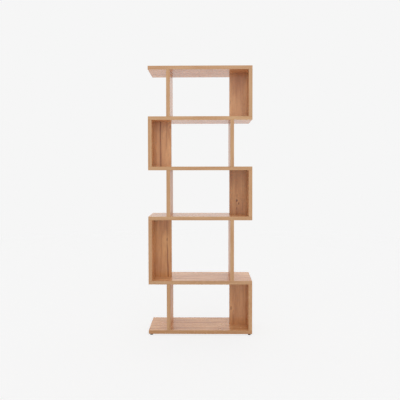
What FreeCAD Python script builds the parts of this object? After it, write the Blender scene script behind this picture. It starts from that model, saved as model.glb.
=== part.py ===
import FreeCAD, Part
import os
import Sketcher

# Zigzag bookshelf: six full-width shelves with five open tiers between them.
# +Z is up, the front faces -Y and +X is to the right of someone who faces the front.
# The origin is on the floor, under the middle of the shelves. Lengths are in millimetres.

SIZES = {
    # The boards
    "shelf_width": 740,
    "shelf_depth": 300,
    "board_thickness": 26,
    "tier_clear": 330,
    "tall_tier_clear": 434,
    "upright_inset": 130,
    "edge_ease": 0.8,
    # The biscuit joints
    "fit_clearance": 0.15,
    "biscuit_length": 47,
    "biscuit_width": 15,
    "biscuit_thickness": 4,
    "biscuit_edge_distance": 60,
    "cutter_diameter": 100,
    "slot_end_room": 1,
    # The levelling feet
    "foot_height": 10,
    "foot_gap": 2,
    "foot_inset": 19,
    "foot_diameter": 21,
    "bolt_diameter": 6,
    "bolt_head_width": 10,
    "bolt_head_height": 4,
    "bolt_reach": 16,
    "bolt_tip_room": 2,
    "thread_clearance": 0.3,
    "insert_diameter": 10,
    "insert_length": 15,
}

RIGHT = 1
LEFT = -1
SIDE_NAMES = {RIGHT: "right", LEFT: "left"}

# From the floor up: the side with the end panel and the spine, and the clear height of the tier.
TIERS = [
    (RIGHT, "tier_clear"),
    (LEFT, "tall_tier_clear"),
    (RIGHT, "tier_clear"),
    (LEFT, "tier_clear"),
    (RIGHT, "tier_clear"),
]

# Places that several pieces share, worked out from the sizes.
END_PANEL_X = "(sizes.shelf_width - sizes.board_thickness) / 2"
UPRIGHT_X = "(sizes.shelf_width - sizes.board_thickness) / 2 - sizes.upright_inset"
SPINE_X = "(sizes.shelf_width - sizes.upright_inset) / 2 - sizes.board_thickness"
BISCUIT_Y = "(sizes.shelf_depth / 2 - sizes.biscuit_edge_distance)"
BISCUIT_CURVE_OFFSET = "(sizes.cutter_diameter - sizes.biscuit_width) / 2"
CUTTER_OFFSET = "((sizes.cutter_diameter - sizes.biscuit_width) / 2 - sizes.slot_end_room)"
SLOT_THICKNESS = "sizes.biscuit_thickness + 2 * sizes.fit_clearance"
FOOT_X = "(sizes.shelf_width / 2 - sizes.foot_inset)"
FOOT_Y = "(sizes.shelf_depth / 2 - sizes.foot_inset)"
PAD_HEIGHT = "(sizes.foot_height - sizes.foot_gap)"
BOLT_SEAT = f"{PAD_HEIGHT} - sizes.bolt_head_height"

doc = FreeCAD.newDocument("zigzag_bookshelf")
sheet = doc.addObject("Spreadsheet::Sheet", "sizes")
for row, (alias, value) in enumerate(SIZES.items(), start=1):
    sheet.set(f"A{row}", alias)
    sheet.set(f"B{row}", str(value))
    sheet.setAlias(f"B{row}", alias)
doc.recompute()

pieces = []
cuts = []


def signed(side, expression):
    """Return an expression on the right of the middle, or its mirror image on the left."""
    return f"{side} * ({expression})"


def origin_plane(body, role):
    """Return one of a body's own origin planes."""
    return next(plane for plane in body.Origin.OriginFeatures if plane.Role == role)


def new_body(label):
    """Return an empty body with its label."""
    body = doc.addObject("PartDesign::Body", label)
    body.Label = label
    return body


def new_sketch(body, name, role, level="0"):
    """Return a sketch on one of the body's planes, moved along that plane's normal to a level."""
    sketch = body.newObject("Sketcher::SketchObject", f"{body.Name}_{name}")
    sketch.AttachmentSupport = [(origin_plane(body, role), "")]
    sketch.MapMode = "FlatFace"
    sketch.setExpression("AttachmentOffset.Base.z", level)
    return sketch


def hold_point(sketch, curve, end, across, along):
    """Tie one point of a curve to expressions for its two distances from the sketch's origin."""
    for kind, expression in (("DistanceX", across), ("DistanceY", along)):
        distance = sheet.evalExpression(expression)
        index = sketch.addConstraint(Sketcher.Constraint(kind, -1, 1, curve, end, float(distance)))
        sketch.setExpression(f"Constraints[{index}]", expression)


def outline(sketch, corners):
    """Draw a closed outline whose corners are pairs of expressions."""
    points = [FreeCAD.Vector(*(float(sheet.evalExpression(e)) for e in corner), 0) for corner in corners]
    count = len(corners)
    for index in range(count):
        sketch.addGeometry(Part.LineSegment(points[index], points[(index + 1) % count]))
    for index, corner in enumerate(corners):
        sketch.addConstraint(Sketcher.Constraint("Coincident", index, 1, (index - 1) % count, 2))
        hold_point(sketch, index, 1, *corner)


def place(piece, x="0", y="0", z="0"):
    """Tie a piece's position to expressions."""
    for axis, expression in (("x", x), ("y", y), ("z", z)):
        piece.setExpression(f"Placement.Base.{axis}", expression)


def add_board(label, size_x, size_y, size_z):
    """Return a board whose footprint is centred on its own origin and rises from it."""
    body = new_body(label)
    sketch = new_sketch(body, "footprint", "XY_Plane")
    half_x = f"({size_x}) / 2"
    half_y = f"({size_y}) / 2"
    outline(sketch, [(signed(LEFT, half_x), signed(LEFT, half_y)), (half_x, signed(LEFT, half_y)),
                     (half_x, half_y), (signed(LEFT, half_x), half_y)])
    pad = body.newObject("PartDesign::Pad", f"{label}_board")
    pad.Profile = sketch
    pad.setExpression("Length", size_z)
    pieces.append(body)
    return body


def ease_edges(body, keep):
    """Take the sharpness off the edges of a board that the test keeps."""
    pad = body.Tip
    edges = [f"Edge{number}" for number, edge in enumerate(pad.Shape.Edges, start=1) if keep(edge)]
    chamfer = body.newObject("PartDesign::Chamfer", f"{body.Name}_eased")
    chamfer.Base = (pad, edges)
    chamfer.setExpression("Size", "sizes.edge_ease")


def hold_circles(sketch, centres, radius):
    """Draw equal circles whose centres are pairs of expressions."""
    size = float(sheet.evalExpression(radius))
    for index, centre in enumerate(centres):
        start = FreeCAD.Vector(*(float(sheet.evalExpression(e)) for e in centre), 0)
        sketch.addGeometry(Part.Circle(start, FreeCAD.Vector(0, 0, 1), size))
        hold_point(sketch, index, 3, *centre)
        tie = sketch.addConstraint(Sketcher.Constraint("Radius", index, size))
        sketch.setExpression(f"Constraints[{tie}]", radius)


def saw(body, name, role, level, centres):
    """Plunge a round cutter into a board at each centre, in the plane at that level."""
    base = body.Tip
    sketch = new_sketch(body, name, role, level)
    hold_circles(sketch, centres, "sizes.cutter_diameter / 2")
    slot = body.newObject("PartDesign::Pocket", f"{body.Name}_{name}_slots")
    slot.Profile = sketch
    slot.SideType = "Symmetric"
    slot.setExpression("Length", SLOT_THICKNESS)
    cuts.append((slot, base))


def drill_up(body, name, centres, radius, depth):
    """Drill blind holes upwards into the underside of a board."""
    base = body.Tip
    sketch = new_sketch(body, name, "XY_Plane")
    hold_circles(sketch, centres, radius)
    hole = body.newObject("PartDesign::Pocket", f"{body.Name}_{name}_holes")
    hole.Profile = sketch
    hole.Reversed = True
    hole.setExpression("Length", depth)
    cuts.append((hole, base))


def cylinder(name, radius, height):
    """Return a round bar that stands on the origin."""
    bar = doc.addObject("Part::Cylinder", name)
    bar.setExpression("Radius", radius)
    bar.setExpression("Height", height)
    return bar


def hexagon(name, width, height):
    """Return a six-sided bar, as wide across its flats as the width says."""
    bar = doc.addObject("Part::Prism", name)
    bar.Polygon = 6
    bar.setExpression("Circumradius", f"({width}) / sqrt(3)")
    bar.setExpression("Height", height)
    return bar


def boolean(kind, name, base, tool):
    """Return two solids joined or cut by one of the Part workbench's booleans."""
    result = doc.addObject(f"Part::{kind}", name)
    result.Base = base
    result.Tool = tool
    return result


def group(label, master, seats):
    """Return one node of equal loose pieces: each seat is a rotation and three place expressions."""
    copies = []
    for number, (rotation, x, y, z) in enumerate(seats, start=1):
        copy = doc.addObject("App::Link", f"{label}_{number}")
        copy.LinkedObject = master
        copy.LinkTransform = True
        copy.Placement = FreeCAD.Placement(FreeCAD.Vector(), rotation)
        place(copy, x, y, z)
        copies.append(copy)
    node = doc.addObject("Part::Compound", label)
    node.Label = label
    node.Links = copies
    pieces.append(node)


# Heights of the shelves above the floor, as expressions.
shelf_levels = ["sizes.foot_height"]
for _, clear in TIERS:
    shelf_levels.append(f"{shelf_levels[-1]} + sizes.board_thickness + sizes.{clear}")
tier_levels = [f"{level} + sizes.board_thickness" for level in shelf_levels[:-1]]

# Shelves
shelves = []
for number, level in enumerate(shelf_levels, start=1):
    suffix = {1: "_bottom", len(shelf_levels): "_top"}.get(number, "")
    shelf = add_board(f"shelf_{number}{suffix}", "sizes.shelf_width", "sizes.shelf_depth",
                      "sizes.board_thickness")
    place(shelf, z=level)
    shelves.append(shelf)

# End panels, inset uprights and spines, tier by tier
tier_boards = []
for number, ((side, clear), level) in enumerate(zip(TIERS, tier_levels), start=1):
    height = f"sizes.{clear}"
    end_panel = add_board(f"end_panel_{number}_{SIDE_NAMES[side]}", "sizes.board_thickness",
                          "sizes.shelf_depth", height)
    place(end_panel, x=signed(side, END_PANEL_X), z=level)
    upright = add_board(f"upright_{number}_{SIDE_NAMES[-side]}", "sizes.board_thickness",
                        "sizes.shelf_depth", height)
    place(upright, x=signed(-side, UPRIGHT_X), z=level)
    spine = add_board(f"spine_{number}_{SIDE_NAMES[side]}", "sizes.upright_inset",
                      "sizes.board_thickness", height)
    place(spine, x=signed(side, SPINE_X), z=level)
    tier_boards.append((end_panel, upright, spine))
doc.recompute()


def is_upright_edge(edge):
    """Tell whether an edge of a board stands vertically."""
    start, end = (vertex.Point for vertex in edge.Vertexes)
    return start.x == end.x and start.y == end.y


# Every edge of a shelf is eased. A standing board keeps its ends square, to close on the shelves,
# and a spine also keeps the edge square that closes on its end panel.
for shelf in shelves:
    ease_edges(shelf, lambda edge: True)
for (side, _), (end_panel, upright, spine) in zip(TIERS, tier_boards):
    ease_edges(end_panel, is_upright_edge)
    ease_edges(upright, is_upright_edge)
    ease_edges(spine, lambda edge: is_upright_edge(edge) and edge.Vertexes[0].X * side < 0)

# Biscuit slots: a cutter stands outside each face that meets another board and plunges into it.
# End panels and uprights have two biscuits in each end, and a spine has one.
FRONT_AND_BACK = [signed(-1, BISCUIT_Y), BISCUIT_Y]
ABOVE_SHELF = f"sizes.board_thickness + {CUTTER_OFFSET}"
BELOW_BOARD = f"-{CUTTER_OFFSET}"
for number, ((side, clear), (end_panel, upright, spine)) in enumerate(zip(TIERS, tier_boards), start=1):
    height = f"sizes.{clear}"
    above_board = f"{height} + {CUTTER_OFFSET}"
    for shelf, cutter_z in ((shelves[number - 1], ABOVE_SHELF), (shelves[number], BELOW_BOARD)):
        panel_cutters = [(y, cutter_z) for y in FRONT_AND_BACK]
        saw(shelf, f"end_panel_{number}", "YZ_Plane", signed(side, END_PANEL_X), panel_cutters)
        saw(shelf, f"upright_{number}", "YZ_Plane", signed(-side, UPRIGHT_X), panel_cutters)
        saw(shelf, f"spine_{number}", "XZ_Plane", "0", [(signed(side, SPINE_X), cutter_z)])
    for panel in (end_panel, upright):
        end_cutters = [(y, z) for y in FRONT_AND_BACK for z in (BELOW_BOARD, above_board)]
        saw(panel, "end", "YZ_Plane", "0", end_cutters)
    saw(spine, "end", "XZ_Plane", "0", [("0", BELOW_BOARD), ("0", above_board)])

# Holes for the foot inserts, in the underside of the bottom shelf
FEET = {
    "front_left": (LEFT, -1),
    "front_right": (RIGHT, -1),
    "back_left": (LEFT, 1),
    "back_right": (RIGHT, 1),
}
foot_seats = {corner: (signed(x, FOOT_X), signed(y, FOOT_Y)) for corner, (x, y) in FEET.items()}
drill_up(shelves[0], "insert", list(foot_seats.values()),
         "sizes.insert_diameter / 2 + sizes.fit_clearance", "sizes.bolt_reach + sizes.bolt_tip_room")

# Biscuit: a thin leaf of beech between two arcs of the cutter's radius, cropped at its points.
# Its own X axis runs along it, Z crosses the joint and Y is its thickness.
arcs = []
for name, sign in (("lower", 1), ("upper", -1)):
    arc = cylinder(f"biscuit_{name}_arc", "sizes.cutter_diameter / 2", "sizes.biscuit_thickness")
    arc.Placement = FreeCAD.Placement(FreeCAD.Vector(), FreeCAD.Rotation(FreeCAD.Vector(1, 0, 0), -90))
    place(arc, y="-sizes.biscuit_thickness / 2", z=signed(sign, BISCUIT_CURVE_OFFSET))
    arcs.append(arc)
crop = doc.addObject("Part::Box", "biscuit_crop")
for side, axis, size in (("Length", "x", "length"), ("Width", "y", "thickness"), ("Height", "z", "width")):
    crop.setExpression(side, f"sizes.biscuit_{size}")
    crop.setExpression(f"Placement.Base.{axis}", f"-sizes.biscuit_{size} / 2")
biscuit = doc.addObject("Part::MultiCommon", "biscuit")
biscuit.Shapes = arcs + [crop]

UNTURNED = FreeCAD.Rotation()
ALONG_DEPTH = FreeCAD.Rotation(FreeCAD.Vector(0, 0, 1), 90)
for number, ((side, clear), level) in enumerate(zip(TIERS, tier_levels), start=1):
    seats = []
    for joint in (level, f"{level} + sizes.{clear}"):
        for x in (signed(side, END_PANEL_X), signed(-side, UPRIGHT_X)):
            seats += [(ALONG_DEPTH, x, y, joint) for y in FRONT_AND_BACK]
        seats.append((UNTURNED, signed(side, SPINE_X), "0", joint))
    group(f"biscuits_tier_{number}", biscuit, seats)

# Levelling feet: a threaded insert in the shelf, a bolt that screws up into it, and a pad whose
# six-sided pocket holds the head of the bolt.
insert_blank = cylinder("foot_insert_blank", "sizes.insert_diameter / 2", "sizes.insert_length")
insert_bore = cylinder("foot_insert_bore", "sizes.bolt_diameter / 2 + sizes.thread_clearance",
                       "sizes.insert_length")
insert = boolean("Cut", "foot_insert", insert_blank, insert_bore)
pad_blank = cylinder("foot_pad_blank", "sizes.foot_diameter / 2", PAD_HEIGHT)
pad_pocket = hexagon("foot_pad_pocket", "sizes.bolt_head_width + 2 * sizes.fit_clearance",
                     "sizes.bolt_head_height")
place(pad_pocket, z=BOLT_SEAT)
pad = boolean("Cut", "foot_pad", pad_blank, pad_pocket)
bolt_head = hexagon("foot_bolt_head", "sizes.bolt_head_width", "sizes.bolt_head_height")
bolt_shank = cylinder("foot_bolt_shank", "sizes.bolt_diameter / 2",
                      "sizes.bolt_head_height + sizes.foot_gap + sizes.bolt_reach")
bolt = boolean("Fuse", "foot_bolt", bolt_head, bolt_shank)
cuts += [(insert, insert_blank), (pad, pad_blank)]
group("foot_inserts", insert, [(UNTURNED, x, y, "sizes.foot_height") for x, y in foot_seats.values()])
for corner, (x, y) in foot_seats.items():
    group(f"foot_pad_{corner}", pad, [(UNTURNED, x, y, "0")])
    group(f"foot_bolt_{corner}", bolt, [(UNTURNED, x, y, BOLT_SEAT)])
doc.recompute()

# Nothing is written unless every object is sound and every cut has taken wood away.
for item in doc.Objects:
    if "Invalid" in item.State or "Error" in item.State:
        raise RuntimeError(f"{item.Label} is in state {item.State}")
for cut, base in cuts:
    if cut.Shape.Volume >= base.Shape.Volume:
        raise RuntimeError(f"{cut.Label} takes nothing away")
for piece in pieces:
    if piece.Shape.isNull() or not piece.Shape.isValid():
        raise RuntimeError(f"{piece.Label} has no valid shape")

os.makedirs("parts", exist_ok=True)
for piece in pieces:
    piece.Shape.exportStep(f"parts/{piece.Label}.step")
print(f"{len(pieces)} nodes, {sum(len(piece.Shape.Solids) for piece in pieces)} solids")
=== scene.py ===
"""Dress the zigzag bookshelf: veneered boards, beech biscuits, zinc fittings and moulded feet."""

import logging
import math
from collections.abc import Mapping, Sequence
from dataclasses import asdict, dataclass
from enum import Enum
from functools import reduce
from typing import ClassVar

import bmesh
import bpy
from mathutils import Color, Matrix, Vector


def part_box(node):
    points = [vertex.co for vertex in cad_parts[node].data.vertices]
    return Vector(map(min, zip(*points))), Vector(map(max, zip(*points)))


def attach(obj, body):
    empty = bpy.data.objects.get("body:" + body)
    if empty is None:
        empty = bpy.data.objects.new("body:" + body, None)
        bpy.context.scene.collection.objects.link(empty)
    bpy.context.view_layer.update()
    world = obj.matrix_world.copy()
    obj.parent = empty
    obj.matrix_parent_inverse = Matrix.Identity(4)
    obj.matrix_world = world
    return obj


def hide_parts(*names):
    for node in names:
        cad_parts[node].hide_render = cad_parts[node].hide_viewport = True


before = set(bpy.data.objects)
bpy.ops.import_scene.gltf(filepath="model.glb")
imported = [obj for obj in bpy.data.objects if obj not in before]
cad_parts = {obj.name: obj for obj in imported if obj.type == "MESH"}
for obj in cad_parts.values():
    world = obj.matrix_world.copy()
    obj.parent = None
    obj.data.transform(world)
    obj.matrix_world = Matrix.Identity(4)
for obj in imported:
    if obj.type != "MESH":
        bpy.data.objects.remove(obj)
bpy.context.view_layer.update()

LOG = logging.getLogger("bookshelf")
MILLIMETRE = 0.001
FULL_LEVEL = 255

Material = bpy.types.Material
Node = bpy.types.Node
Socket = bpy.types.NodeSocket
Sockets = Mapping[str, Socket]
Value = Socket | float | tuple[float, ...]
Colour = tuple[float, float, float, float]
Tint = tuple[float, float, float]
Axes = tuple[float, float, float]
Range = tuple[float, float]
WHITE: Colour = (1.0, 1.0, 1.0, 1.0)
BLACK: Colour = (0.0, 0.0, 0.0, 1.0)
PLAIN: Tint = (1.0, 1.0, 1.0)


def paint(red: int, green: int, blue: int) -> Colour:
    """Turn a colour as it shows on a screen, in levels up to 255, into the linear one that a shader takes."""
    shown = Color((red, green, blue)) / FULL_LEVEL
    return (*shown.from_srgb_to_scene_linear(), 1.0)


def tinted(colour: Colour, tint: Tint) -> Colour:
    """Return a colour with its red, green and blue each scaled by a share of its own."""
    return (*(level * share for level, share in zip(colour, tint)), colour[3])


@dataclass(frozen=True)
class Waves:
    """Noise on a leaf: how many waves a metre holds across and along the grain, and how many finer layers."""

    across: float
    along: float
    detail: float = 2.0


class Graph:
    """Writes nodes into one node tree."""

    # A Mix node has sockets of the same name for each type of data. These are its share and its two colours.
    mix_inputs: ClassVar[tuple[int, int, int]] = (0, 6, 7)
    mix_output: ClassVar[int] = 2
    noise_mean: ClassVar[float] = 0.5

    def __init__(self, tree: bpy.types.NodeTree) -> None:
        """Keep the tree that the nodes go into."""
        self.tree = tree

    def node(self, kind: str, inputs: Mapping[str | int, Value], **settings: object) -> Node:
        """Add one node.

        Args:
            kind: Blender's name for the type of node.
            inputs: A number, a colour or another node's socket for each input that is used.
            settings: The node's own properties.

        Returns:
            The new node.
        """
        node = self.tree.nodes.new(kind)
        for name, setting in settings.items():
            setattr(node, name, setting)
        for key, value in inputs.items():
            if isinstance(value, Socket):
                self.tree.links.new(value, node.inputs[key])
            else:
                node.inputs[key].default_value = value
        return node

    def math(self, operation: str, *values: Value) -> Socket:
        """Return the result of one Math node."""
        return self.node("ShaderNodeMath", dict(enumerate(values)), operation=operation).outputs[0]

    def plus(self, first: Value, second: Value) -> Socket:
        """Return the sum of two values."""
        return self.math("ADD", first, second)

    def minus(self, first: Value, second: Value) -> Socket:
        """Return the first value less the second."""
        return self.math("SUBTRACT", first, second)

    def times(self, first: Value, second: Value) -> Socket:
        """Return the product of two values."""
        return self.math("MULTIPLY", first, second)

    def weighed(self, *parts: tuple[Value, Value]) -> Socket:
        """Return the sum of values, each times the share that is given with it."""
        return reduce(self.plus, (self.times(value, share) for value, share in parts))

    def length(self, first: Value, second: Value) -> Socket:
        """Return the root of the sum of two squares."""
        return self.math("SQRT", self.weighed((first, first), (second, second)))

    def ease(self, value: Value, start: Value, stop: Value) -> Socket:
        """Return 0 at start and 1 at stop, with a smooth rise between them."""
        inputs = {"Value": value, "From Min": start, "From Max": stop}
        return self.node("ShaderNodeMapRange", inputs, interpolation_type="SMOOTHSTEP").outputs[0]

    def spread(self, value: Value, low: Value, high: Value) -> Socket:
        """Return a value from 0 to 1 spread evenly from low to high."""
        return self.node("ShaderNodeMapRange", {"Value": value, "To Min": low, "To Max": high}).outputs[0]

    def noise(self, x: Value, y: Value, z: Value, detail: float = 2.0, roughness: float = 0.5) -> Socket:
        """Return noise from 0 to 1 at a place whose axes are already scaled.

        Args:
            x: First coordinate, in waves of the noise.
            y: Second coordinate.
            z: Third coordinate.
            detail: How many finer layers are added.
            roughness: How much each finer layer counts.

        Returns:
            The noise.
        """
        place = self.node("ShaderNodeCombineXYZ", {"X": x, "Y": y, "Z": z}).outputs[0]
        inputs = {"Vector": place, "Scale": 1.0, "Detail": detail, "Roughness": roughness}
        return self.node("ShaderNodeTexNoise", inputs).outputs[0]

    def grain(self, across: Value, along: Value, layer: Value, waves: Waves) -> Socket:
        """Return noise that lies along the grain, cut from the layer that is given."""
        x, y = self.times(across, waves.across), self.times(along, waves.along)
        return self.noise(x, y, layer, detail=waves.detail)

    def specks(self, place: Sequence[Value], waves: Sequence[Value], detail: float) -> Socket:
        """Return noise in the solid, with its own count of waves in a metre along each axis."""
        return self.noise(*(self.times(axis, count) for axis, count in zip(place, waves)), detail=detail)

    def sway(self, noise: Socket, reach: Value) -> Socket:
        """Return a shift to either side that follows noise, within a reach."""
        return self.times(self.minus(noise, self.noise_mean), reach)

    def blend(self, share: Value, first: Value, second: Value) -> Socket:
        """Return the first colour, or the second where the share is 1."""
        inputs = dict(zip(self.mix_inputs, (share, first, second)))
        return self.node("ShaderNodeMix", inputs, data_type="RGBA").outputs[self.mix_output]

    def relief(self, height: Socket, depth: float, strength: float) -> Socket:
        """Return the normal of a surface that has a fine relief."""
        inputs = {"Strength": strength, "Distance": depth, "Height": height}
        return self.node("ShaderNodeBump", inputs).outputs[0]

    def either(self, share: Value, first: Node, second: Node) -> Node:
        """Return a shader that is the first one, or the second where the share is 1."""
        return self.node("ShaderNodeMixShader", {0: share, 1: first.outputs[0], 2: second.outputs[0]})

    def object_place(self) -> list[Socket]:
        """Return the three coordinates of a point of the object, in metres."""
        place = self.node("ShaderNodeTexCoord", {}).outputs["Object"]
        return list(self.node("ShaderNodeSeparateXYZ", {"Vector": place}).outputs)


class Effect:
    """A shader node group that is built once and placed in each material that uses it."""

    name: ClassVar[str]
    inputs: ClassVar[tuple[str, ...]]
    outputs: ClassVar[tuple[str, ...]]

    @classmethod
    def write(cls, graph: Graph, given: Sockets) -> Sockets:
        """Write the group's own nodes from its inputs, and return the sockets for its outputs by name."""
        raise NotImplementedError

    @classmethod
    def tree(cls) -> bpy.types.NodeTree:
        """Find the group, or build it on its first use.

        Returns:
            The group's node tree.
        """
        found = bpy.data.node_groups.get(cls.name)
        if found:
            return found
        tree = bpy.data.node_groups.new(cls.name, "ShaderNodeTree")
        for way, names in (("INPUT", cls.inputs), ("OUTPUT", cls.outputs)):
            for name in names:
                tree.interface.new_socket(name=name, in_out=way, socket_type="NodeSocketFloat")
        graph = Graph(tree)
        entry = graph.node("NodeGroupInput", {})
        results = cls.write(graph, {name: entry.outputs[name] for name in cls.inputs})
        graph.node("NodeGroupOutput", results)
        return tree

    @classmethod
    def place(cls, graph: Graph, **values: Value) -> Sockets:
        """Place the group in a material with a value for each input, and return its outputs by name."""
        node = graph.node("ShaderNodeGroup", values, node_tree=cls.tree())
        return {name: node.outputs[name] for name in cls.outputs}


class GrainFigure(Effect):
    """The figure of a leaf sliced from a log: growth rings cut flat, fibres and pores.

    The rings are noise of the distance from the log's heart, which drifts and wavers along the leaf. Counts
    of rings are waves of that noise in a metre.
    """

    name = "grain_figure"
    inputs = ("at_across", "at_along", "seed", "heart_across", "heart_depth", "tilt", "lean_across",
              "lean_along")
    outputs = ("tone", "pores", "height")
    layer_step = 7.3
    drift = Waves(9, 2.6, detail=3)
    drift_reach = 60.0 * MILLIMETRE
    waver = Waves(40, 9)
    waver_reach = 6.0 * MILLIMETRE
    narrow_rings = 110.0
    narrow_detail = 4.0
    narrow_roughness = 0.65
    narrow_share = 0.6
    wide_rings = 26.0
    wide_layer = 3.0
    clouds = Waves(24, 5, detail=3)
    fibres = Waves(420, 9)
    ring_share = 0.55
    cloud_share = 0.3
    fibre_share = 0.15
    tone_range = (0.34, 0.66)
    pores = Waves(900, 34, detail=1)
    pore_range = (0.58, 0.70)
    early_wood = (0.62, 0.42)
    tone_relief = 0.4

    @classmethod
    def write(cls, graph: Graph, given: Sockets) -> Sockets:
        """Write the rings, clouds and fibres that make the tone, and the pores of the early wood.

        Args:
            graph: Where the nodes go.
            given: The group's inputs by name.

        Returns:
            Tone from dark to light, a mask of pores and a height for relief.
        """
        across, along = given["at_across"], given["at_along"]
        layer = graph.times(given["seed"], cls.layer_step)
        drift = graph.sway(graph.grain(across, along, layer, cls.drift), cls.drift_reach)
        waver = graph.sway(graph.grain(across, along, layer, cls.waver), cls.waver_reach)
        aside = graph.minus(graph.plus(across, drift), given["heart_across"])
        depth = graph.plus(given["heart_depth"], graph.times(given["tilt"], along))
        ring = graph.plus(graph.length(aside, depth), waver)
        narrow = graph.noise(graph.times(ring, cls.narrow_rings), layer, 0.0, cls.narrow_detail,
                             cls.narrow_roughness)
        wide = graph.noise(graph.times(ring, cls.wide_rings), layer, cls.wide_layer)
        rings = graph.weighed((narrow, cls.narrow_share), (wide, 1 - cls.narrow_share))
        clouds = graph.grain(across, along, layer, cls.clouds)
        fibres = graph.grain(across, along, layer, cls.fibres)
        tone = graph.weighed((rings, cls.ring_share), (clouds, cls.cloud_share), (fibres, cls.fibre_share))
        # A slope of tone across and along the leaf, added to the figure: partly the leaf's own tone and
        # partly painted shade, as on spine_5, which is darker toward its top under the shelf above.
        lean = graph.weighed((across, given["lean_across"]), (along, given["lean_along"]))
        pores = graph.times(graph.ease(graph.grain(across, along, layer, cls.pores), *cls.pore_range),
                            graph.ease(narrow, *cls.early_wood))
        return {
            "tone": graph.ease(graph.plus(tone, lean), *cls.tone_range),
            "pores": pores,
            "height": graph.minus(graph.times(tone, cls.tone_relief), pores),
        }


class KnotMark(Effect):
    """A small knot: the grain flows round it, and its dark heart has rings and an uneven outline.

    Distances from it are counted in half widths and half lengths of the knot.
    """

    name = "knot_mark"
    inputs = ("at_across", "at_along", "across", "along", "width", "length", "darkness")
    outputs = ("bent_across", "heart", "halo")
    halo_fall = 0.22
    grain_bend = 0.85
    dents = Waves(320, 140)
    dent_range = (0.5, 1.5)
    ring_turn = 13.0
    heart_depth = 0.95
    ring_depth = 0.2
    heart_range = (1.3, 0.5)

    @classmethod
    def write(cls, graph: Graph, given: Sockets) -> Sockets:
        """Write the distance from the knot and what follows from it.

        Args:
            graph: Where the nodes go.
            given: The group's inputs by name.

        Returns:
            The place across the grain, bent round the knot, and masks of its heart and its halo.
        """
        aside = graph.minus(given["at_across"], given["across"])
        above = graph.minus(given["at_along"], given["along"])
        wide = graph.math("DIVIDE", aside, given["width"])
        long = graph.math("DIVIDE", above, given["length"])
        square = graph.weighed((wide, wide), (long, long))
        halo = graph.math("EXPONENT", graph.times(square, -cls.halo_fall))
        bend = graph.times(graph.times(aside, halo), cls.grain_bend)
        dents = graph.grain(aside, above, given["along"], cls.dents)
        outline = graph.times(square, graph.spread(dents, *cls.dent_range))
        rings = graph.math("COSINE", graph.times(graph.math("SQRT", outline), cls.ring_turn))
        depth = graph.minus(cls.heart_depth, graph.times(rings, cls.ring_depth))
        heart = graph.times(graph.times(graph.ease(outline, *cls.heart_range), depth), given["darkness"])
        return {"bent_across": graph.minus(given["at_across"], bend), "heart": heart, "halo": halo}


class DarkStreak(Effect):
    """A dark line that wanders along the grain and is stronger in some places than in others."""

    name = "dark_streak"
    inputs = ("at_across", "at_along", "seed", "across", "width", "wander", "darkness", "slope", "faint_at",
              "full_at")
    outputs = ("mask",)
    bends = 9.0
    patches = 17.0
    patch_layer = 5.0
    patch_range = (0.6, 1.0)

    @classmethod
    def write(cls, graph: Graph, given: Sockets) -> Sockets:
        """Write the distance from the wandering line.

        Args:
            graph: Where the nodes go.
            given: The group's inputs by name.

        Returns:
            A mask of the line.
        """
        along, seed = given["at_along"], given["seed"]
        bends = graph.noise(graph.times(along, cls.bends), seed, 0.0, detail=1)
        line = graph.plus(given["across"], graph.sway(bends, given["wander"]))
        line = graph.plus(line, graph.times(along, given["slope"]))
        gap = graph.math("ABSOLUTE", graph.minus(given["at_across"], line))
        patches = graph.noise(graph.times(along, cls.patches), seed, cls.patch_layer)
        strength = graph.spread(patches, *cls.patch_range)
        strength = graph.times(strength, graph.ease(along, given["faint_at"], given["full_at"]))
        strength = graph.times(strength, given["darkness"])
        return {"mask": graph.times(graph.ease(gap, given["width"], 0.0), strength)}


class EdgeBand(Effect):
    """A straight-grained band glued along a board's edges, and the seam beside it."""

    name = "edge_band"
    inputs = ("at_across", "at_along", "at_depth", "half_across", "half_along", "thickness", "seed")
    outputs = ("mask", "seam", "tone")
    blur = 0.05 * MILLIMETRE
    seam_reach = 0.25 * MILLIMETRE
    lines = Waves(330, 5, detail=3)
    clouds = Waves(40, 4)
    line_share = 0.5
    tone_range = (0.36, 0.64)

    @classmethod
    def write(cls, graph: Graph, given: Sockets) -> Sockets:
        """Write the distance from the nearest edge and the band's fine lines.

        Args:
            graph: Where the nodes go.
            given: The group's inputs by name.

        Returns:
            A mask of the band, a mask of its seam and the band's tone from dark to light.
        """
        across, along, depth, seed = (given[name] for name in ("at_across", "at_along", "at_depth", "seed"))
        side_gap = graph.minus(given["half_across"], graph.math("ABSOLUTE", across))
        end_gap = graph.minus(given["half_along"], graph.math("ABSOLUTE", along))
        past_seam = graph.minus(graph.math("MINIMUM", side_gap, end_gap), given["thickness"])
        run = graph.plus(along, across)
        lines = graph.grain(depth, run, seed, cls.lines)
        clouds = graph.grain(depth, run, seed, cls.clouds)
        tone = graph.weighed((lines, cls.line_share), (clouds, 1 - cls.line_share))
        return {
            "mask": graph.ease(past_seam, cls.blur, -cls.blur),
            "seam": graph.ease(graph.math("ABSOLUTE", past_seam), cls.seam_reach, 0.0),
            "tone": graph.ease(tone, *cls.tone_range),
        }


class UnevenSheen(Effect):
    """A roughness that drifts a little over the surface, as wiped and handled finishes do."""

    name = "uneven_sheen"
    inputs = ("x", "y", "z", "waves", "smooth", "rough")
    outputs = ("roughness",)
    detail = 4.0

    @classmethod
    def write(cls, graph: Graph, given: Sockets) -> Sockets:
        """Write soft noise between the smoothest and the roughest value.

        Args:
            graph: Where the nodes go.
            given: The group's inputs by name.

        Returns:
            The roughness.
        """
        place = [given[axis] for axis in "xyz"]
        drift = graph.specks(place, [given["waves"]] * len(place), cls.detail)
        return {"roughness": graph.spread(drift, given["smooth"], given["rough"])}

    @classmethod
    def over(cls, graph: Graph, place: Sequence[Socket], waves: float, smooth: float, rough: float) -> Socket:
        """Place the group over a whole surface and return its roughness."""
        x, y, z = place
        return cls.place(graph, x=x, y=y, z=z, waves=waves, smooth=smooth, rough=rough)["roughness"]


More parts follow.
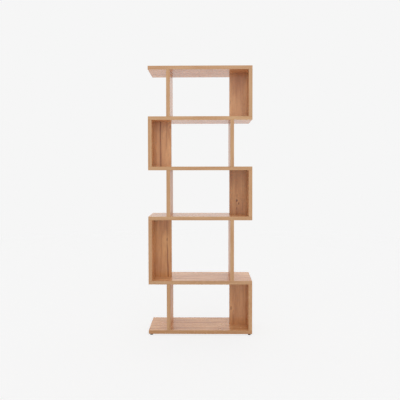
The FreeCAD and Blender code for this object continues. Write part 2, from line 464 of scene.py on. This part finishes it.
def new_material(name: str) -> tuple[Material, Graph]:
    """Make a material with nothing in it.

    Args:
        name: The material's name.

    Returns:
        The material and a graph that writes into it.
    """
    material = bpy.data.materials.new(name)
    material.use_nodes = True
    material.node_tree.nodes.clear()
    return material, Graph(material.node_tree)


def show(graph: Graph, shader: Node) -> None:
    """Send a shader to the material's surface."""
    graph.node("ShaderNodeOutputMaterial", {"Surface": shader.outputs[0]})


def dress(piece: bpy.types.Object, material: Material) -> None:
    """Give a piece one material all over."""
    piece.data.materials.clear()
    piece.data.materials.append(material)


@dataclass(frozen=True)
class Knot:
    """A knot's place on its board, from the middle, and its half size, in metres, and how dark it is."""

    across: float
    along: float
    width: float
    length: float
    darkness: float


@dataclass(frozen=True)
class Streak:
    """A dark line's place across its board, its half width and how far it sways, in metres.

    Its darkness grows along the board from faint_at to full_at, and it is even where these lie off the board.
    """

    across: float
    width: float
    wander: float
    darkness: float
    slope: float = 0.0
    faint_at: float = -2.0
    full_at: float = -1.0


@dataclass(frozen=True)
class Leaf:
    """A leaf of veneer and its marks.

    The log's heart lies heart_across and heart_depth from the middle of the leaf, in metres, and its depth
    grows by tilt along it. Its colours are scaled by tint, those of the board's bands by band_tint, its
    roughness is raised by dullness, and it grows lighter by lean_across and lean_along. On the
    shelves, end panels and uprights the two scales are partly the board's own tone and partly painted light
    and shade, and on spine_5 the lean along it is painted shade, darker toward its top under the shelf above.
    """

    seed: float
    heart_across: float
    heart_depth: float
    tilt: float
    tint: Tint = PLAIN
    band_tint: Tint = PLAIN
    dullness: float = 0.0
    lean_across: float = 0.0
    lean_along: float = 0.0
    knots: tuple[Knot, ...] = ()
    streaks: tuple[Streak, ...] = ()


class BoardKind(Enum):
    """How a kind of board lies: its axes across the grain, along it and through the board."""

    SHELF = (1, 0, 2)
    STANDING = (1, 2, 0)
    SPINE = (0, 2, 1)

    @property
    def shown_side(self) -> float:
        """Say which side of the board faces front or up: 1 for the far side along its axis, or -1."""
        return -1.0 if self is BoardKind.SPINE else 1.0


@dataclass(frozen=True)
class OakVeneer:
    """Clear-lacquered oak veneer with a lighter band on each edge."""

    light: Colour = paint(230, 178, 126)
    dark: Colour = paint(184, 123, 78)
    pore: Colour = paint(118, 70, 42)
    streak: Colour = paint(122, 58, 18)
    knot: Colour = paint(108, 46, 10)
    band_light: Colour = paint(202, 159, 115)
    band_dark: Colour = paint(189, 141, 97)
    seam: Colour = paint(150, 100, 64)
    band_thickness: float = 1.0 * MILLIMETRE
    pore_share: float = 0.6
    halo_share: float = 0.45
    seam_share: float = 0.5
    sheen_waves: float = 9.0
    smooth: float = 0.22
    rough: float = 0.30
    pore_dullness: float = 0.12
    relief: float = 0.12 * MILLIMETRE
    relief_strength: float = 0.5
    seam_depth: float = 0.8
    refraction: float = 1.6

    def material(self, name: str, kind: BoardKind, leaf: Leaf) -> Material:
        """Make the veneer of one board.

        Args:
            name: The board's node.
            kind: How the board lies.
            leaf: The leaf on its two faces.

        Returns:
            The material.
        """
        material, graph = new_material(f"oak_veneer_{name}")
        low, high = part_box(name)
        centre, half = (low + high) / 2, (high - low) / 2
        place = graph.object_place()
        across, along, depth = (graph.minus(place[axis], centre[axis]) for axis in kind.value)
        side = graph.math("SIGN", graph.times(depth, kind.shown_side))
        face_colour, figure = self.face(graph, across, graph.times(along, side), leaf)
        half_across, half_along = (half[axis] for axis in kind.value[:2])
        # Only shelves have bands on their ends. Other boards end on shelves, so theirs lie past the wood.
        past_ends = 0.0 if kind is BoardKind.SHELF else 2 * self.band_thickness
        band = EdgeBand.place(
            graph, at_across=across, at_along=along, at_depth=depth, half_across=half_across,
            half_along=half_along + past_ends, thickness=self.band_thickness, seed=leaf.seed)
        # The band's colours are scaled by the leaf's band_tint, which on some boards is painted light and
        # shade.
        band_dark, band_light = (tinted(shade, leaf.band_tint) for shade in (self.band_dark, self.band_light))
        band_colour = graph.blend(band["tone"], band_dark, band_light)
        colour = graph.blend(band["mask"], face_colour, band_colour)
        colour = graph.blend(graph.times(band["seam"], self.seam_share), colour, self.seam)
        sheen = UnevenSheen.over(graph, place, self.sheen_waves, self.smooth + leaf.dullness,
                                 self.rough + leaf.dullness)
        roughness = graph.plus(sheen, graph.times(figure["pores"], self.pore_dullness))
        face_height = graph.times(figure["height"], graph.minus(1.0, band["mask"]))
        height = graph.minus(face_height, graph.times(band["seam"], self.seam_depth))
        show(graph, graph.node("ShaderNodeBsdfPrincipled", {
            "Base Color": colour, "Roughness": roughness, "IOR": self.refraction,
            "Normal": graph.relief(height, self.relief, self.relief_strength),
        }))
        return material

    def face(self, graph: Graph, across: Socket, along: Socket, leaf: Leaf) -> tuple[Socket, Sockets]:
        """Draw a leaf and its marks.

        Args:
            graph: The material's graph.
            across: The place across the grain.
            along: The place along the grain.
            leaf: The leaf.

        Returns:
            The leaf's colour and the outputs of its figure.
        """
        knots = self.place_knots(graph, across, along, leaf)
        figure = GrainFigure.place(
            graph, at_across=knots[-1]["bent_across"] if knots else across, at_along=along, seed=leaf.seed,
            heart_across=leaf.heart_across, heart_depth=leaf.heart_depth, tilt=leaf.tilt,
            lean_across=leaf.lean_across, lean_along=leaf.lean_along)
        # The face's colours are scaled by the leaf's tint, which on some boards is painted light.
        dark, light = (tinted(shade, leaf.tint) for shade in (self.dark, self.light))
        colour = graph.blend(figure["tone"], dark, light)
        colour = graph.blend(graph.times(figure["pores"], self.pore_share), colour, self.pore)
        for streak in leaf.streaks:
            line = DarkStreak.place(graph, at_across=across, at_along=along, seed=leaf.seed, **asdict(streak))
            colour = graph.blend(line["mask"], colour, self.streak)
        for knot in knots:
            colour = graph.blend(graph.times(knot["halo"], self.halo_share), colour, light)
        for knot in knots:
            colour = graph.blend(knot["heart"], colour, self.knot)
        return colour, figure

    @staticmethod
    def place_knots(graph: Graph, across: Socket, along: Socket, leaf: Leaf) -> list[Sockets]:
        """Place a leaf's knots, each in the grain that the ones before it have bent.

        Args:
            graph: The material's graph.
            across: The place across the grain.
            along: The place along the grain.
            leaf: The leaf that has the knots.

        Returns:
            The outputs of each knot.
        """
        placed = []
        for knot in leaf.knots:
            placed.append(KnotMark.place(graph, at_across=across, at_along=along, **asdict(knot)))
            across = placed[-1]["bent_across"]
        return placed


@dataclass(frozen=True)
class PressedBeech:
    """Bare beech, pressed thin, with the short dark flecks of its rays."""

    light: Colour = paint(222, 190, 150)
    dark: Colour = paint(196, 156, 114)
    fleck: Colour = paint(150, 106, 70)
    cloud_waves: Axes = (60.0, 60.0, 200.0)
    fleck_waves: Axes = (400.0, 400.0, 1800.0)
    fleck_range: Range = (0.60, 0.70)
    roughness: float = 0.75
    relief: float = 0.1 * MILLIMETRE
    relief_strength: float = 0.4

    def material(self) -> Material:
        """Make the beech.

        Returns:
            The material.
        """
        material, graph = new_material("pressed_beech")
        place = graph.object_place()
        clouds = graph.specks(place, self.cloud_waves, detail=3)
        flecks = graph.specks(place, self.fleck_waves, detail=1)
        wood = graph.blend(clouds, self.dark, self.light)
        show(graph, graph.node("ShaderNodeBsdfPrincipled", {
            "Base Color": graph.blend(graph.ease(flecks, *self.fleck_range), wood, self.fleck),
            "Roughness": self.roughness,
            "Normal": graph.relief(flecks, self.relief, self.relief_strength),
        }))
        return material


@dataclass(frozen=True)
class ZincPlate:
    """Bright zinc plating on steel, slightly mottled."""

    light: Colour = paint(206, 208, 208)
    dark: Colour = paint(172, 176, 180)
    mottle_waves: Axes = (700.0, 700.0, 700.0)
    sheen_waves: float = 300.0
    smooth: float = 0.24
    rough: float = 0.42
    relief: float = 0.05 * MILLIMETRE
    relief_strength: float = 0.2

    def material(self) -> Material:
        """Make the plating.

        Returns:
            The material.
        """
        material, graph = new_material("zinc_plate")
        place = graph.object_place()
        mottle = graph.specks(place, self.mottle_waves, detail=3)
        show(graph, graph.node("ShaderNodeBsdfPrincipled", {
            "Base Color": graph.blend(mottle, self.dark, self.light), "Metallic": 1.0,
            "Roughness": UnevenSheen.over(graph, place, self.sheen_waves, self.smooth, self.rough),
            "Normal": graph.relief(mottle, self.relief, self.relief_strength),
        }))
        return material


@dataclass(frozen=True)
class MouldedPlastic:
    """Dark brown plastic with a fine spark-eroded texture."""

    light: Colour = paint(34, 24, 16)
    dark: Colour = paint(24, 16, 10)
    cloud_waves: Axes = (160.0, 160.0, 160.0)
    grit_waves: Axes = (2600.0, 2600.0, 2600.0)
    sheen_waves: float = 220.0
    smooth: float = 0.5
    rough: float = 0.62
    specular: float = 0.3
    relief: float = 0.06 * MILLIMETRE
    relief_strength: float = 0.5

    def material(self) -> Material:
        """Make the plastic.

        Returns:
            The material.
        """
        material, graph = new_material("moulded_plastic")
        place = graph.object_place()
        clouds = graph.specks(place, self.cloud_waves, detail=2)
        grit = graph.specks(place, self.grit_waves, detail=2)
        show(graph, graph.node("ShaderNodeBsdfPrincipled", {
            "Base Color": graph.blend(clouds, self.dark, self.light), "Specular IOR Level": self.specular,
            "Roughness": UnevenSheen.over(graph, place, self.sheen_waves, self.smooth, self.rough),
            "Normal": graph.relief(grit, self.relief, self.relief_strength),
        }))
        return material


@dataclass(frozen=True)
class Carcass:
    """The shelves, end panels, uprights and spines.

    The leaves of boards with no leaf of their own differ by steps: their seeds by seed_step, the angles that
    swing the log's heart from side to side by swing_step, and depths and tilts in small rounds of steps.
    """

    finish: OakVeneer
    spine_leaves: Mapping[str, Leaf]
    # Colour scales by board for faces and for bands: partly each board's own tone and partly painted light
    # and shade.
    face_tints: Mapping[str, Tint]
    band_tints: Mapping[str, Tint]
    dullness: Mapping[str, float]
    seed_step: float = 3.1
    heart_swing: float = 0.12
    swing_step: float = 2.4
    heart_depth: float = 0.035
    depth_step: float = 0.012
    depth_count: int = 3
    tilt: float = 0.03
    tilt_step: float = 0.01
    tilt_count: int = 4

    def leaf(self, name: str, number: int) -> Leaf:
        """Choose the leaf of veneer for a board.

        Args:
            name: The board's node.
            number: The board's place in the list of boards.

        Returns:
            Its own leaf, or one without marks that differs from board to board.
        """
        own = self.spine_leaves.get(name)
        if own:
            return own
        return Leaf(
            seed=self.seed_step * number,
            heart_across=self.heart_swing * math.sin(self.swing_step * number),
            heart_depth=self.heart_depth + self.depth_step * (number % self.depth_count),
            tilt=self.tilt + self.tilt_step * (number % self.tilt_count),
            tint=self.face_tints.get(name, PLAIN),
            band_tint=self.band_tints.get(name, PLAIN),
            dullness=self.dullness.get(name, 0.0),
        )

    def dress(self) -> None:
        """Veneer every board."""
        kinds = {"shelf": BoardKind.SHELF, "end": BoardKind.STANDING, "upright": BoardKind.STANDING,
                 "spine": BoardKind.SPINE}
        starts = {name: name.split("_")[0] for name in sorted(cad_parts)}
        boards = {name: kinds[start] for name, start in starts.items() if start in kinds}
        for number, (name, kind) in enumerate(boards.items(), start=1):
            dress(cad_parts[name], self.finish.material(name, kind, self.leaf(name, number)))
            LOG.info("veneered %s", name)


@dataclass(frozen=True)
class Joinery:
    """The beech biscuits between the boards and the threaded inserts of the feet."""

    beech: Material
    zinc: Material

    def dress(self) -> None:
        """Give the hidden pieces their materials."""
        finishes = {"biscuits": self.beech, "foot_inserts": self.zinc}
        for start, material in finishes.items():
            for name in sorted(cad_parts):
                if name.startswith(start):
                    dress(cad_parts[name], material)
                    LOG.info("dressed %s", name)


class Turning:
    """A closed mesh of rings stacked up one axis, as turned and moulded pieces are.

    The flats of a thread's groove and ridge are shares of its pitch.
    """

    sides: ClassVar[int] = 48
    root_flat: ClassVar[float] = 1 / 4
    crest_flat: ClassVar[float] = 1 / 8
    sharp_angle: ClassVar[float] = math.radians(35)
    merge_gap: ClassVar[float] = 0.001 * MILLIMETRE

    def __init__(self, x: float, y: float) -> None:
        """Start an empty mesh on an upright axis.

        Args:
            x: The axis's place from left to right.
            y: The axis's place from front to back.
        """
        self.axis = (x, y)
        self.mesh = bmesh.new()
        self.last_ring: list[bmesh.types.BMVert] = []

    def point(self, step: int, radius: float, height: float) -> bmesh.types.BMVert:
        """Add one vertex.

        Args:
            step: Its step round the axis.
            radius: Its distance from the axis.
            height: Its height.

        Returns:
            The vertex.
        """
        angle = math.tau * step / self.sides
        x, y = self.axis
        return self.mesh.verts.new((x + radius * math.cos(angle), y + radius * math.sin(angle), height))

    def start_ring(self, radii: Sequence[float], height: float) -> None:
        """Begin a new stack of rings, not joined to what is there."""
        self.last_ring = [self.point(step, radius, height) for step, radius in enumerate(radii)]

    def ring(self, radii: Sequence[float], height: float) -> None:
        """Add a ring and join it to the one before.

        Args:
            radii: The radius at each step round the axis.
            height: The ring's height.
        """
        below = self.last_ring
        self.start_ring(radii, height)
        for step in range(self.sides):
            after = (step + 1) % self.sides
            self.mesh.faces.new((below[step], below[after], self.last_ring[after], self.last_ring[step]))

    def circle(self, radius: float) -> list[float]:
        """Return the radii of a round ring."""
        return [radius] * self.sides

    def hexagon(self, flats: float) -> list[float]:
        """Return the radii of a six-sided ring, which has a corner on the X axis."""
        turns = [step / self.sides % (1 / 6) - 1 / 12 for step in range(self.sides)]
        return [flats / 2 / math.cos(math.tau * turn) for turn in turns]

    def cap(self) -> None:
        """Close the last ring with one flat face."""
        self.mesh.faces.new(self.last_ring)

    def thread(self, start: float, stop: float, root: float, crest: float, pitch: float) -> None:
        """Add a helical thread that runs out at both ends, then start a ring on its far end.

        Args:
            start: Height of the lower end.
            stop: Height of the upper end.
            root: Radius at the bottom of the groove.
            crest: Radius at the top of the ridge.
            pitch: Rise in one turn.
        """
        flank = (1 - self.root_flat - self.crest_flat) / 2
        profile = ((0.0, root), (self.root_flat, root), (self.root_flat + flank, crest), (1 - flank, crest))
        count = len(profile)
        turns = math.ceil((stop - start) / pitch)
        rows = []
        for row in range((turns + 2) * count + 1):
            turn, place = divmod(row, count)
            share, radius = profile[place]
            line = []
            for step in range(self.sides):
                height = start + pitch * (turn - 1 + share + step / self.sides)
                height = min(max(height, start), stop)
                fade = min(1.0, (height - start) / pitch, (stop - height) / pitch)
                line.append(self.point(step, root + (radius - root) * fade, height))
            rows.append(line)
        for row in range((turns + 1) * count):
            for step in range(self.sides):
                # A row climbs one pitch on its way round, so it ends where the row a turn higher starts.
                wrap = step + 1 == self.sides
                after, shift = (0, count) if wrap else (step + 1, 0)
                corners = ((row, step), (row + shift, after), (row + shift + 1, after), (row + 1, step))
                self.mesh.faces.new([rows[line][place] for line, place in corners])
        self.start_ring(self.circle(root), stop)

    def piece(self, name: str, body: str, slot: str, material: Material) -> None:
        """Turn the mesh into a piece that stands for a CAD node and moves with its body.

        Args:
            name: The CAD node that the piece stands for.
            body: The body that it moves with.
            slot: The record's slot for its finish. Not used.
            material: Its material.
        """
        bmesh.ops.remove_doubles(self.mesh, verts=self.mesh.verts, dist=self.merge_gap)
        bmesh.ops.recalc_face_normals(self.mesh, faces=self.mesh.faces)
        data = bpy.data.meshes.new(f"{name}_shape")
        self.mesh.to_mesh(data)
        self.mesh.free()
        data.shade_smooth()
        data.set_sharp_from_angle(angle=self.sharp_angle)
        made = bpy.data.objects.new(f"{name}_shape", data)
        bpy.context.scene.collection.objects.link(made)
        dress(made, material)
        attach(made, body)
        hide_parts(name)
        LOG.info("built %s in place of %s", made.name, name)


@dataclass(frozen=True)
class LevellingFoot:
    """One foot: a moulded pad with a rounded rim round the head of a threaded bolt."""

    corner: str
    plastic: Material
    zinc: Material
    rim_round: float = 0.9 * MILLIMETRE
    head_flats: float = 10.0 * MILLIMETRE
    head_height: float = 4.0 * MILLIMETRE
    pocket_room: float = 0.3 * MILLIMETRE
    bevel: float = 0.3 * MILLIMETRE
    shank_radius: float = 3.0 * MILLIMETRE
    thread_pitch: float = 1.0 * MILLIMETRE
    thread_depth: float = 0.55 * MILLIMETRE
    tip_height: float = 1.0 * MILLIMETRE
    round_steps: int = 6

    def build(self) -> None:
        """Build the pad and the bolt on their common axis."""
        self.build_pad()
        self.build_bolt()

    def build_pad(self) -> None:
        """Mould the pad: a flat sole, rounded rims and a six-sided pocket for the bolt's head."""
        name = f"foot_pad_{self.corner}"
        low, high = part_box(name)
        centre = (low + high) / 2
        radius = (high.x - low.x) / 2
        pad = Turning(centre.x, centre.y)
        turns = [math.pi / 2 * step / self.round_steps for step in range(self.round_steps + 1)]
        reach = radius - self.rim_round
        pad.start_ring(pad.circle(reach), low.z)
        pad.cap()
        for turn in turns[1:]:
            height = low.z + self.rim_round * (1 - math.cos(turn))
            pad.ring(pad.circle(reach + self.rim_round * math.sin(turn)), height)
        for turn in turns:
            height = high.z - self.rim_round * (1 - math.sin(turn))
            pad.ring(pad.circle(reach + self.rim_round * math.cos(turn)), height)
        pocket = self.head_flats + self.pocket_room
        pad.ring(pad.hexagon(pocket + 2 * self.bevel), high.z)
        pad.ring(pad.hexagon(pocket), high.z - self.bevel)
        pad.ring(pad.hexagon(pocket), high.z - self.head_height)
        pad.cap()
        pad.piece(name, f"foot_{self.corner}", "foot_plastic", self.plastic)

    def build_bolt(self) -> None:
        """Make the bolt: a six-sided head, a threaded shank and a tapered tip."""
        name = f"foot_bolt_{self.corner}"
        low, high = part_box(name)
        centre = (low + high) / 2
        top = low.z + self.head_height
        root = self.shank_radius - self.thread_depth
        bolt = Turning(centre.x, centre.y)
        bolt.start_ring(bolt.hexagon(self.head_flats - 2 * self.bevel), low.z)
        bolt.cap()
        bolt.ring(bolt.hexagon(self.head_flats), low.z + self.bevel)
        bolt.ring(bolt.hexagon(self.head_flats), top - self.bevel)
        bolt.ring(bolt.hexagon(self.head_flats - 2 * self.bevel), top)
        bolt.ring(bolt.circle(root), top)
        bolt.thread(top, high.z - self.tip_height, root, self.shank_radius, self.thread_pitch)
        bolt.ring(bolt.circle(root - self.thread_depth), high.z)
        bolt.cap()
        bolt.piece(name, f"foot_{self.corner}", "steel_fitting", self.zinc)


@dataclass(frozen=True)
class Studio:
    """A pale floor, even light from all round and a camera where the photograph was taken from.

    The floor takes the object's shadow and is mostly clear to the eye. A ground below it shows through, so
    that a foot that is turned out past the floor still shows. The ground's matt shade and its glow together
    look like the pale backdrop. Angles are in degrees.
    """

    floor_reach: float = 6.0
    fade_start: float = 3.0
    floor_clearness: float = 0.85
    ground_depth: float = 20.0 * MILLIMETRE
    pale: Colour = paint(246, 246, 246)
    matt: Colour = (0.78, 0.78, 0.78, 1.0)
    glow: Colour = (0.951, 0.951, 0.951, 1.0)
    mirrored_light: float = 1.0
    even_light: float = 0.80
    back_light: float = 0.35
    top_light: float = 0.15
    lamp_place: Axes = (0.3, -2.2, 2.6)
    lamp_aim: Axes = (0.0, 0.0, 1.2)
    lamp_width: float = 1.6
    lamp_power: float = 8.0
    camera_place: Axes = (0.0430, -3.5190, 1.1900)
    pitch_down: float = 1.569
    turn_left: float = 0.749
    roll: float = 0.086
    focal_pixels: float = 475.04
    image_pixels: float = 400.0
    axis_row: float = 182.12

    def build(self) -> None:
        """Make the ground, the floor, the light and the camera."""
        self.lay_ground()
        self.lay_floor()
        self.light_round()
        self.hang_lamp()
        self.set_camera()

    def lay_ground(self) -> None:
        """Lay the pale ground that shows through the floor, lower than the feet can reach."""
        material, graph = new_material("studio_ground")
        seen, from_below = self.lines_of_sight(graph)
        fade = self.fade(graph)
        matt = graph.node("ShaderNodeBsdfDiffuse", {"Color": graph.blend(fade, self.matt, BLACK)})
        shade = graph.blend(fade, self.glow, self.pale)
        glow = graph.node("ShaderNodeEmission", {"Color": shade, "Strength": seen})
        pale = graph.node("ShaderNodeAddShader", {0: matt.outputs[0], 1: glow.outputs[0]})
        clear = graph.node("ShaderNodeBsdfTransparent", {})
        show(graph, graph.either(from_below, pale, clear))
        self.lay_sheet("studio_ground", -self.ground_depth, material)

    def lay_floor(self) -> None:
        """Lay the floor, which takes the object's shadow and is otherwise mostly clear to the eye."""
        material, graph = new_material("studio_floor")
        seen, from_below = self.lines_of_sight(graph)
        matt = graph.node("ShaderNodeBsdfDiffuse", {"Color": self.matt})
        clear = graph.node("ShaderNodeBsdfTransparent", {})
        clearness = graph.spread(self.fade(graph), self.floor_clearness, 1.0)
        share = graph.math("MAXIMUM", graph.times(seen, clearness), from_below)
        show(graph, graph.either(share, matt, clear))
        self.lay_sheet("studio_floor", 0.0, material)

    def fade(self, graph: Graph) -> Socket:
        """Measure how far a sheet of the stage has faded: 0 round the object and 1 at the sheet's edges."""
        x, y, _ = graph.object_place()
        return graph.ease(graph.length(x, y), self.fade_start, self.floor_reach)

    @staticmethod
    def mirrored(graph: Graph, path: Sockets) -> Socket:
        """Return a mask of the rays that show the surroundings in mirrors and through glass."""
        return graph.math("MAXIMUM", path["Is Glossy Ray"], path["Is Transmission Ray"])

    def lines_of_sight(self, graph: Graph) -> tuple[Socket, Socket]:
        """Find the rays by which a sheet of the stage is seen.

        Args:
            graph: The sheet's material.

        Returns:
            Masks of the rays of the eye, also in mirrors and through glass, and of the eye below the sheet.
        """
        path = graph.node("ShaderNodeLightPath", {}).outputs
        seen = graph.math("MAXIMUM", path["Is Camera Ray"], self.mirrored(graph, path))
        back = graph.node("ShaderNodeNewGeometry", {}).outputs["Backfacing"]
        return seen, graph.times(back, path["Is Camera Ray"])

    def lay_sheet(self, name: str, height: float, material: Material) -> None:
        """Lay one flat sheet of the stage, which faces up.

        Args:
            name: The sheet's name.
            height: Its height.
            material: Its material.
        """
        mesh = bpy.data.meshes.new(name)
        reach = self.floor_reach
        corners = [(x * reach, y * reach, height) for x, y in ((-1, -1), (1, -1), (1, 1), (-1, 1))]
        mesh.from_pydata(corners, [], [(0, 1, 2, 3)])
        sheet = bpy.data.objects.new(name, mesh)
        bpy.context.scene.collection.objects.link(sheet)
        dress(sheet, material)
        LOG.info("laid %s", name)

    def light_round(self) -> None:
        """Light the object from all round, with a pale backdrop for the camera and white in reflections."""
        world = bpy.data.worlds.new("studio_light")
        bpy.context.scene.world = world
        world.use_nodes = True
        world.node_tree.nodes.clear()
        graph = Graph(world.node_tree)
        path = graph.node("ShaderNodeLightPath", {}).outputs
        towards = graph.node("ShaderNodeTexCoord", {}).outputs["Generated"]
        axes = graph.node("ShaderNodeSeparateXYZ", {"Vector": towards}).outputs
        behind, above = (graph.math("MAXIMUM", axes[axis], 0.0) for axis in "YZ")
        extra = graph.weighed((behind, self.back_light), (above, self.top_light))
        level = graph.plus(extra, self.even_light)
        lit = graph.node("ShaderNodeBackground", {"Color": WHITE, "Strength": level})
        mirror = graph.node("ShaderNodeBackground", {"Color": WHITE, "Strength": self.mirrored_light})
        backdrop = graph.node("ShaderNodeBackground", {"Color": self.pale})
        around = graph.either(self.mirrored(graph, path), lit, mirror)
        around = graph.either(path["Is Camera Ray"], around, backdrop)
        graph.node("ShaderNodeOutputWorld", {"Surface": around.outputs[0]})
        LOG.info("lit the studio")

    def hang_lamp(self) -> None:
        """Hang one wide soft lamp in front of the object and above it."""
        light = bpy.data.lights.new("studio_lamp", "AREA")
        light.size = self.lamp_width
        light.energy = self.lamp_power
        lamp = bpy.data.objects.new("studio_lamp", light)
        lamp.location = self.lamp_place
        lamp.rotation_euler = (Vector(self.lamp_aim) - lamp.location).to_track_quat("-Z", "Y").to_euler()
        lamp.visible_camera = False
        lamp.visible_glossy = False
        bpy.context.scene.collection.objects.link(lamp)
        LOG.info("hung the lamp")

    def set_camera(self) -> None:
        """Stand the camera where the photograph was taken from."""
        lens = bpy.data.cameras.new("photo_camera")
        lens.lens = lens.sensor_width * self.focal_pixels / self.image_pixels
        lens.shift_y = self.axis_row / self.image_pixels - 0.5
        camera = bpy.data.objects.new("photo_camera", lens)
        camera.location = self.camera_place
        angles = (90 - self.pitch_down, self.roll, self.turn_left)
        camera.rotation_euler = [math.radians(angle) for angle in angles]
        bpy.context.scene.collection.objects.link(camera)
        bpy.context.scene.camera = camera
        bpy.context.scene.view_settings.view_transform = "Standard"
        LOG.info("set the camera")


SPINE_LEAVES = {
    "spine_1_right": Leaf(
        seed=18.78, heart_across=0.10, heart_depth=0.05, tilt=0.03, tint=(0.95, 0.91, 0.86), lean_across=-0.2,
        knots=(Knot(-0.052, -0.043, 0.007, 0.016, 0.5), Knot(-0.035, -0.065, 0.004, 0.012, 0.35)),
        streaks=(Streak(-0.037, 0.012, 0.010, 0.35, faint_at=-0.06, full_at=-0.12),)),
    "spine_2_left": Leaf(
        seed=51.79, heart_across=0.02, heart_depth=0.04, tilt=0.05, tint=(0.95, 0.91, 0.79), lean_across=0.3,
        knots=(Knot(0.014, 0.066, 0.011, 0.030, 0.0), Knot(0.024, 0.060, 0.006, 0.014, 0.5)),
        streaks=(Streak(0.034, 0.009, 0.006, 0.9, slope=-0.02, faint_at=0.35, full_at=-0.05),)),
    "spine_3_right": Leaf(
        seed=45.63, heart_across=-0.10, heart_depth=0.04, tilt=0.03, tint=(0.81, 0.75, 0.68),
        lean_across=0.3, lean_along=0.25,
        knots=(Knot(-0.010, -0.060, 0.006, 0.011, 0.9), Knot(0.002, -0.080, 0.006, 0.010, 0.75),
               Knot(-0.010, -0.118, 0.005, 0.010, 0.6), Knot(-0.008, -0.022, 0.004, 0.012, 0.4)),
        streaks=(Streak(-0.010, 0.008, 0.014, 0.4, faint_at=0.02, full_at=-0.04),
                 Streak(-0.052, 0.012, 0.006, 0.35, faint_at=0.02, full_at=0.10),
                 Streak(0.030, 0.007, 0.004, 0.3))),
    "spine_4_left": Leaf(
        seed=29.69, heart_across=0.03, heart_depth=0.03, tilt=0.05, tint=(1.06, 1.08, 1.10), lean_across=0.5,
        knots=(Knot(0.056, 0.125, 0.006, 0.014, 0.4),),
        streaks=(Streak(-0.014, 0.009, 0.004, 0.95),
                 Streak(0.030, 0.008, 0.006, 0.35, faint_at=-0.06, full_at=0.01))),
    # spine_5's lean along it is painted shade: darker toward its top, under the shelf above.
    "spine_5_right": Leaf(
        seed=8.32, heart_across=0.0, heart_depth=0.025, tilt=0.06, tint=(0.94, 0.95, 1.0), lean_along=-0.4,
        knots=(Knot(-0.029, -0.050, 0.005, 0.030, 0.0), Knot(-0.004, -0.108, 0.004, 0.020, 0.0),
               Knot(0.016, -0.135, 0.004, 0.018, 0.0))),
}
# Colour scales for the faces of some boards: partly each board's own tone and partly painted light,
# lightening shelf tops, undersides and inner faces that the lighting leaves too dark.
FACE_LIGHT_AND_TINTS = {
    "shelf_1_bottom": (1.0, 1.04, 1.06), "shelf_2": (1.05, 1.10, 1.14), "shelf_5": (1.08, 1.0, 0.92),
    "shelf_6_top": (1.05, 1.0, 0.95), "end_panel_2_left": (1.12, 1.14, 1.14),
    "upright_5_left": (1.06, 1.06, 1.0),
}
# Colour scales for the edge bands of some boards: partly each board's own tone and partly painted light and
# shade, darker on the lower boards where light falls off toward the floor and lighter on the upper ones.
BAND_LIGHT_AND_TINTS = {
    "shelf_1_bottom": (0.94, 0.85, 0.74), "shelf_2": (0.95, 0.93, 0.93), "shelf_5": (1.03, 1.06, 1.08),
    "shelf_6_top": (1.0, 1.0, 1.05), "end_panel_1_right": (1.0, 0.97, 0.93),
    "end_panel_2_left": (0.97, 0.94, 0.94), "end_panel_3_right": (1.04, 1.03, 1.03),
    "end_panel_5_right": (0.96, 0.97, 1.0), "upright_1_left": (0.96, 0.95, 0.94),
}
DULLNESS = {"upright_1_left": 0.21, "upright_2_right": 0.10, "upright_3_left": 0.13, "upright_4_right": 0.05}
CORNERS = ("front_left", "front_right", "back_left", "back_right")


def main() -> None:
    """Build and dress the bookshelf, then stand it in the studio."""
    logging.basicConfig(level=logging.INFO, format="%(message)s")
    zinc = ZincPlate().material()
    plastic = MouldedPlastic().material()
    Carcass(OakVeneer(), SPINE_LEAVES, FACE_LIGHT_AND_TINTS, BAND_LIGHT_AND_TINTS, DULLNESS).dress()
    Joinery(PressedBeech().material(), zinc).dress()
    for corner in CORNERS:
        LevellingFoot(corner, plastic, zinc).build()
    Studio().build()


if __name__ == "__main__":
    main()
